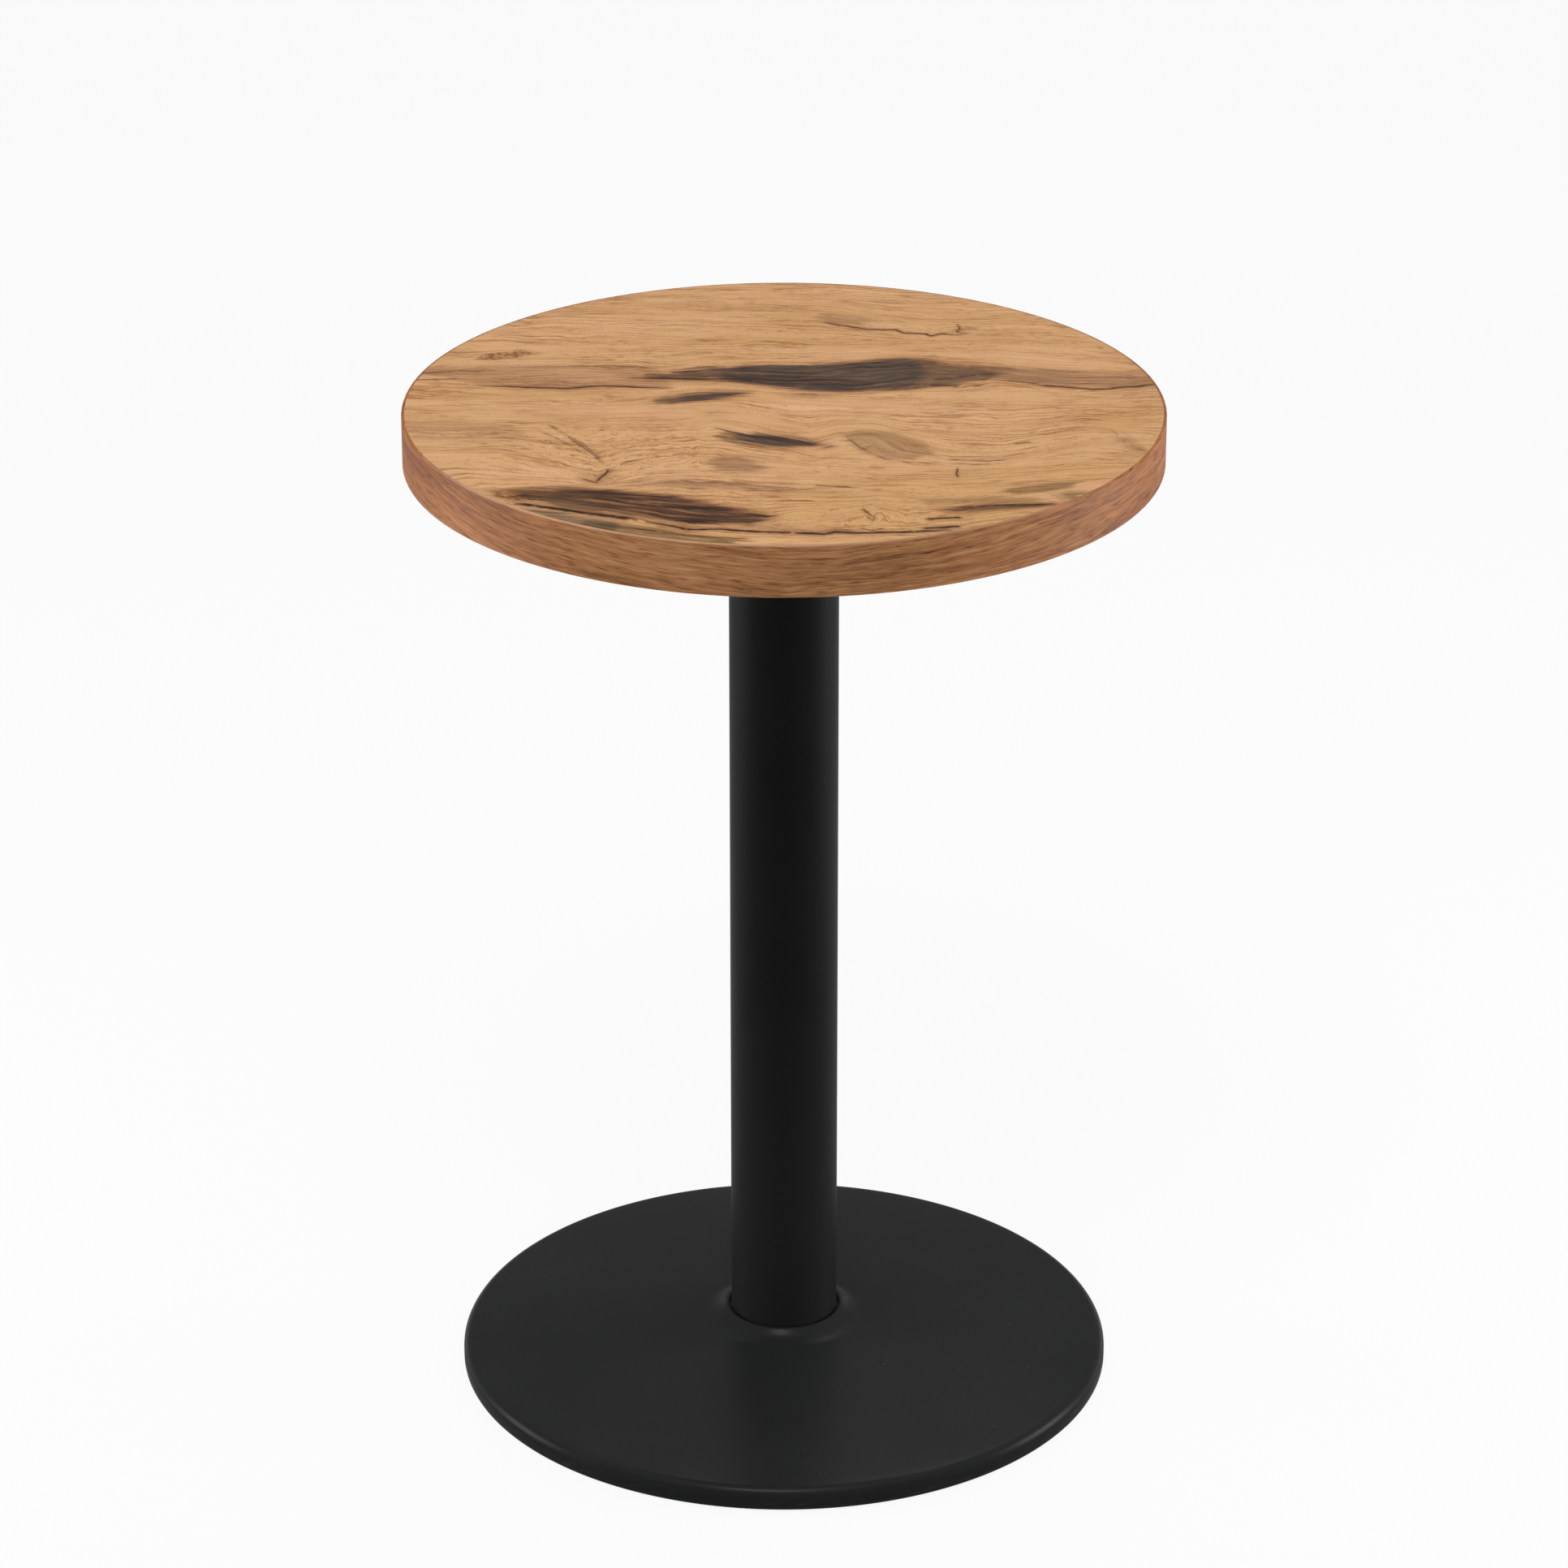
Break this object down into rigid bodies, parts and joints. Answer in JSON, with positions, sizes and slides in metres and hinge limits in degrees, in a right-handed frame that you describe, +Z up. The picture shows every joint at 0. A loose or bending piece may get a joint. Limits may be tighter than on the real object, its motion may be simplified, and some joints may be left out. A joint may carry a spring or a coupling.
{
  "type": "round bar table",
  "caption": "Round cafe-height bar table: laminated wooden top on a black round steel column and a domed disc base.",
  "frame": {"origin": "on the floor under the middle of the column", "axes": "+Z up along the column, +X to the right and -Y towards the viewer of the picture; the grain of the top runs along X"},
  "size_m": [0.52, 0.52, 0.73],
  "materials": {
    "oak_decor": "satin rustic oak decor",
    "oak_edge": "satin oak edge strip",
    "particle_board": "raw board",
    "backing_sheet": "matt dark backing sheet",
    "insert_brass": "plain",
    "spider_coat": "satin black powder coat",
    "column_coat": "fine textured black powder coat",
    "cover_coat": "satin charcoal powder coat",
    "zinc_steel": "zinc plated",
    "spring_steel": "oiled spring steel",
    "iron_casting": "dipped casting",
    "soft_pad": "soft dots",
    "glide_plastic": "black nylon",
    "glide_steel": "zinc plated"
  },
  "bodies": {
    "table": {"top_core": "particle_board", "top_laminate": "oak_decor", "underside_laminate": "backing_sheet", "edge_band": "oak_edge", "threaded_inserts": "insert_brass", "top_spider": "spider_coat", "spider_screws": "zinc_steel", "spider_washers": "zinc_steel", "tension_rod": "zinc_steel", "rod_top_nut": "zinc_steel", "rod_top_washer": "zinc_steel", "rod_bottom_nut": "zinc_steel", "rod_spring_washer": "spring_steel", "rod_bottom_washer": "zinc_steel", "column_tube": "column_coat", "base_cover": "cover_coat", "ballast_casting": "iron_casting", "damping_pads": "soft_pad"},
    "pad_1": {"glide_pad_1": "glide_plastic"},
    "stem_1": {"glide_stem_1": "glide_steel"},
    "pad_2": {"glide_pad_2": "glide_plastic"},
    "stem_2": {"glide_stem_2": "glide_steel"},
    "pad_3": {"glide_pad_3": "glide_plastic"},
    "stem_3": {"glide_stem_3": "glide_steel"},
    "pad_4": {"glide_pad_4": "glide_plastic"},
    "stem_4": {"glide_stem_4": "glide_steel"}
  },
  "joints": [
    {"name": "glide_1_height", "type": "slide", "parent": "table", "child": "pad_1", "axis": [0, 0, -1], "range_m": [0, 0.006]},
    {"name": "glide_1_turn", "type": "hinge", "parent": "pad_1", "child": "stem_1", "pos_m": [0.13187, 0.13187, 0.0091], "axis": [0, 0, -1], "range_deg": [0, 1728]},
    {"name": "glide_2_height", "type": "slide", "parent": "table", "child": "pad_2", "axis": [0, 0, -1], "range_m": [0, 0.006]},
    {"name": "glide_2_turn", "type": "hinge", "parent": "pad_2", "child": "stem_2", "pos_m": [-0.13187, 0.13187, 0.0091], "axis": [0, 0, -1], "range_deg": [0, 1728]},
    {"name": "glide_3_height", "type": "slide", "parent": "table", "child": "pad_3", "axis": [0, 0, -1], "range_m": [0, 0.006]},
    {"name": "glide_3_turn", "type": "hinge", "parent": "pad_3", "child": "stem_3", "pos_m": [-0.13187, -0.13187, 0.0091], "axis": [0, 0, -1], "range_deg": [0, 1728]},
    {"name": "glide_4_height", "type": "slide", "parent": "table", "child": "pad_4", "axis": [0, 0, -1], "range_m": [0, 0.006]},
    {"name": "glide_4_turn", "type": "hinge", "parent": "pad_4", "child": "stem_4", "pos_m": [0.13187, -0.13187, 0.0091], "axis": [0, 0, -1], "range_deg": [0, 1728]}
  ],
  "couplings": [
    {"joint": "glide_1_turn", "follows": "glide_1_height", "rad_per_m": 5026.5},
    {"joint": "glide_2_turn", "follows": "glide_2_height", "rad_per_m": 5026.5},
    {"joint": "glide_3_turn", "follows": "glide_3_height", "rad_per_m": 5026.5},
    {"joint": "glide_4_turn", "follows": "glide_4_height", "rad_per_m": 5026.5}
  ]
}
